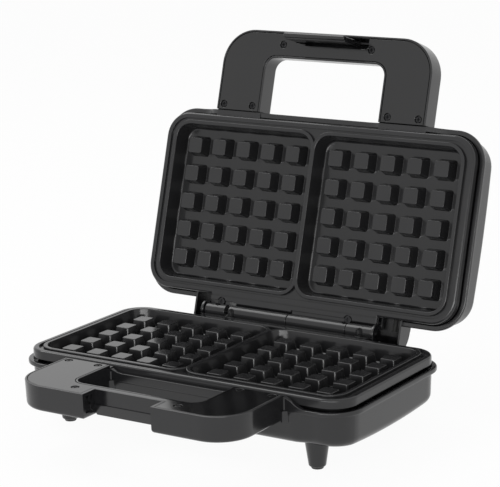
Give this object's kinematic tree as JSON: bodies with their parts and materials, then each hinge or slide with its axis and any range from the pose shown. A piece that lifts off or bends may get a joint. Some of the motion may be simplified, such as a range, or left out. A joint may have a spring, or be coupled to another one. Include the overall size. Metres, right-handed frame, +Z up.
{
  "type": "waffle maker",
  "caption": "Hinged waffle maker with twin pegged baking plates, U-shaped grips and a clip latch, lid standing open.",
  "frame": {"origin": "on the standing surface, below the middle of the whole waffle maker's box with its lid open", "axes": "+Z up, -Y towards the handles, X along the hinge pin"},
  "size_m": [0.249, 0.2684, 0.2397],
  "materials": {
    "housing_plastic": "moulded, fine satin",
    "cover_plastic": "moulded, smooth satin",
    "latch_plastic": "moulded, smooth",
    "nonstick_plate": "cast aluminium under black non-stick coating",
    "rubber_tip": "moulded",
    "black_screw": "blackened",
    "steel": "drawn",
    "element_sheath": "heat tinted",
    "reflector_sheet": "rolled sheet",
    "terminal_plastic": "moulded",
    "wire_sleeve": "woven sleeve",
    "red_lens": "clear tinted",
    "green_lens": "clear tinted"
  },
  "bodies": {
    "base": {"base_housing": "housing_plastic", "lower_plate": "nonstick_plate", "lower_heating_element": "element_sheath", "lower_reflector": "reflector_sheet", "lower_handle": "housing_plastic", "lower_handle_cover": "cover_plastic", "lower_handle_screws": "black_screw", "lower_handle_bolts": "steel", "front_left_foot": "housing_plastic", "front_right_foot": "housing_plastic", "rear_left_foot": "housing_plastic", "rear_right_foot": "housing_plastic", "foot_tips": "rubber_tip", "hinge_pin": "steel", "lower_plate_screws": "black_screw", "terminal_block": "terminal_plastic", "base_wiring": "wire_sleeve", "cord_gland": "housing_plastic"},
    "lid": {"lid_housing": "housing_plastic", "upper_plate": "nonstick_plate", "upper_heating_element": "element_sheath", "upper_reflector": "reflector_sheet", "upper_handle": "housing_plastic", "upper_handle_cover": "cover_plastic", "upper_handle_screws": "black_screw", "upper_handle_bolts": "steel", "upper_plate_screws": "black_screw", "thermostat": "steel", "thermal_fuse": "steel", "power_lamp": "red_lens", "ready_lamp": "green_lens", "lid_wiring": "wire_sleeve", "latch_pin": "steel"},
    "latch": {"handle_latch": "latch_plastic"}
  },
  "joints": [
    {"name": "lid_hinge", "type": "hinge", "parent": "base", "child": "lid", "pos_m": [0, 0.06176, 0.0499], "axis": [1, 0, 0], "range_deg": [0, 106.75]},
    {"name": "latch_pivot", "type": "hinge", "parent": "lid", "child": "latch", "pos_m": [0, 0.1226, 0.23158], "axis": [1, 0, 0], "range_deg": [-10, 11]}
  ]
}
